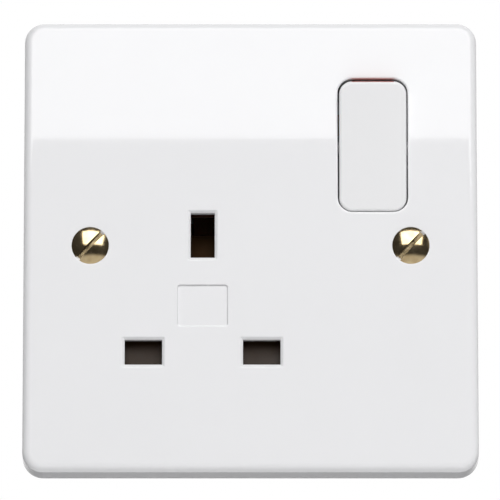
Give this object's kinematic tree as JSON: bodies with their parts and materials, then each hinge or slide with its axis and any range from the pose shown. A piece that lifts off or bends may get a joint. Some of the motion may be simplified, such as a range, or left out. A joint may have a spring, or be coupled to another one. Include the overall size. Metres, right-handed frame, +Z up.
{
  "type": "switched wall socket",
  "caption": "Square white wall socket with shuttered flat-pin slots, a rocker switch, slotted fixing screws and a rear case with wire terminals.",
  "frame": {"origin": "middle of the plate, midway between the fixing screws, on the plane of the wall", "axes": "+Z up the wall, +X to the right as the user sees it, +Y into the wall, so the plate faces -Y"},
  "size_m": [0.086, 0.0292, 0.086],
  "materials": {
    "white_plastic": "glossy white moulded plastic",
    "rocker_plastic": "glossy white moulded plastic",
    "red_plastic": "glossy red plastic insert",
    "case_plastic": "dull off-white moulded plastic",
    "dark_plastic": "dull dark brown moulded plastic",
    "shutter_plastic": "satin dark brown moulded plastic",
    "nylon": "natural nylon",
    "spring_steel": "drawn spring wire",
    "contact_strip": "stamped phosphor bronze strip",
    "silver_contact": "silver alloy contact button",
    "terminal_brass": "machined brass",
    "gold_screw": "bright gold-coloured passivated plating",
    "plated_steel": "bright zinc plating"
  },
  "bodies": {
    "housing": {"front_plate": "white_plastic", "back_moulding": "case_plastic", "contact_cover": "dark_plastic", "screw_retainers": "nylon", "shutter_spring": "spring_steel", "switch_fulcrum": "contact_strip", "live_contact": "contact_strip", "neutral_contact": "contact_strip", "earth_contact": "contact_strip", "fixed_rivet": "silver_contact", "live_terminal": "terminal_brass", "neutral_terminal": "terminal_brass", "earth_terminal": "terminal_brass", "terminal_screws": "terminal_brass", "fixing_screws": "gold_screw", "earth_strap": "plated_steel", "earth_rivet": "terminal_brass", "case_screws": "plated_steel"},
    "rocker": {"switch_rocker": "rocker_plastic", "rocker_flag": "red_plastic", "plunger_spring": "spring_steel"},
    "plunger": {"rocker_plunger": "dark_plastic"},
    "seesaw": {"moving_contact": "contact_strip", "moving_rivet": "silver_contact"},
    "shutter_slide": {"shutter": "shutter_plastic"}
  },
  "joints": [
    {"name": "rocker_tilt", "type": "hinge", "parent": "housing", "child": "rocker", "pos_m": [0.02305, -0.005, 0.0192], "axis": [1, 0, 0], "range_deg": [-8, 0]},
    {"name": "contact_tilt", "type": "hinge", "parent": "housing", "child": "seesaw", "pos_m": [0.02305, 0.00631, 0.0192], "axis": [1, 0, 0], "range_deg": [0, 14]},
    {"name": "plunger_push", "type": "slide", "parent": "rocker", "child": "plunger", "axis": [0, -0.9976, -0.0698], "range_m": [0, 0.0015], "stiffness_N_per_m": 150, "springref_m": -0.004, "deforming": ["plunger_spring"]},
    {"name": "shutter_drop", "type": "slide", "parent": "housing", "child": "shutter_slide", "axis": [0, 0, -1], "range_m": [0, 0.0053], "stiffness_N_per_m": 60, "springref_m": -0.004, "deforming": ["shutter_spring"]}
  ],
  "couplings": [
    {"joint": "contact_tilt", "follows": "rocker_tilt", "ratio": -1.75}
  ]
}
